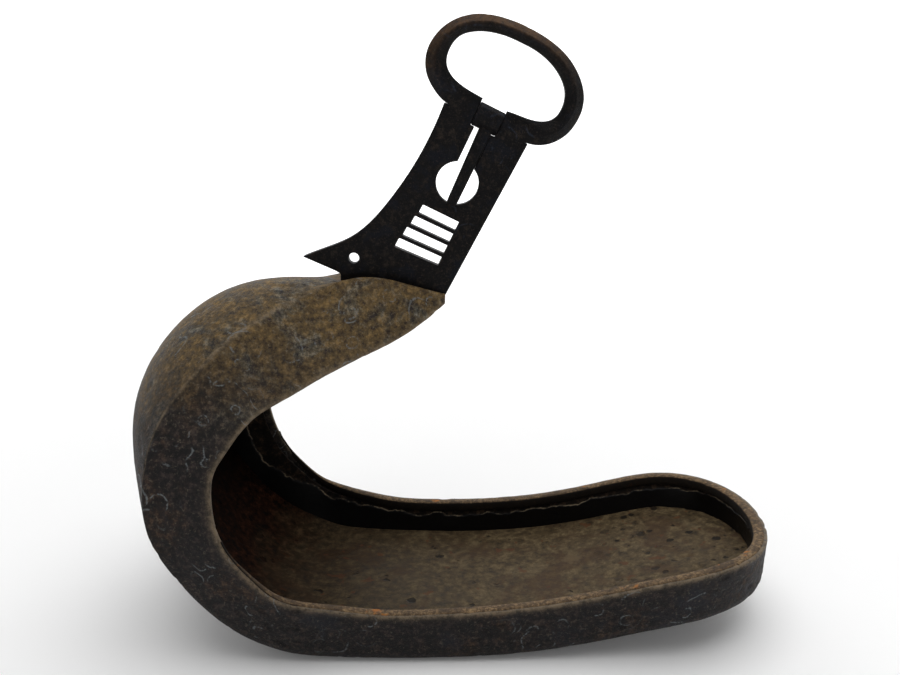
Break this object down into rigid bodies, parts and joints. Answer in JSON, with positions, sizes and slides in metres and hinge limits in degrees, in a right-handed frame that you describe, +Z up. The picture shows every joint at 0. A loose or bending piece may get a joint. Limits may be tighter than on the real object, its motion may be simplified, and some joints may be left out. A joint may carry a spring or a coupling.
{
  "type": "stirrup iron",
  "caption": "Long-soled open-sided iron riding stirrup with a curled domed toe, an openwork hanger plate, and a strap buckle with a swinging prong.",
  "frame": {"origin": "on the ground under the middle of the stirrup's bounding box, in the mirror plane", "axes": "+X from toe to heel, +Z up, +Y to the rider's right when the toe points forward"},
  "size_m": [0.2809, 0.1312, 0.2614],
  "materials": {
    "outer_iron": "forged iron, rust-brown and grey-black patina",
    "hanger_iron": "blackened iron",
    "prong_iron": "blackened iron, worn",
    "rim_iron": "worn iron edge, sandy brown",
    "tread_lacquer": "worn lacquered wood",
    "lining_lacquer": "black lacquer, flaking"
  },
  "bodies": {
    "frame": {"breast_plate": "outer_iron", "left_side_plate": "outer_iron", "right_side_plate": "outer_iron", "sole_plate": "outer_iron", "left_foot_wall": "outer_iron", "right_foot_wall": "outer_iron", "heel_wall": "outer_iron", "rim_strip": "rim_iron", "tread_board": "tread_lacquer", "toe_lining": "lining_lacquer", "left_wall_lining": "lining_lacquer", "right_wall_lining": "lining_lacquer", "heel_lining": "lining_lacquer", "hanger_plate": "hanger_iron", "buckle_ring": "hanger_iron", "prong_pin": "prong_iron"},
    "prong": {"prong": "prong_iron"}
  },
  "joints": [
    {"name": "prong_hinge", "type": "hinge", "parent": "frame", "child": "prong", "pos_m": [0.0154, 0, 0.2207], "axis": [-0.8988, 0, 0.4384], "range_deg": [0, 161]}
  ]
}
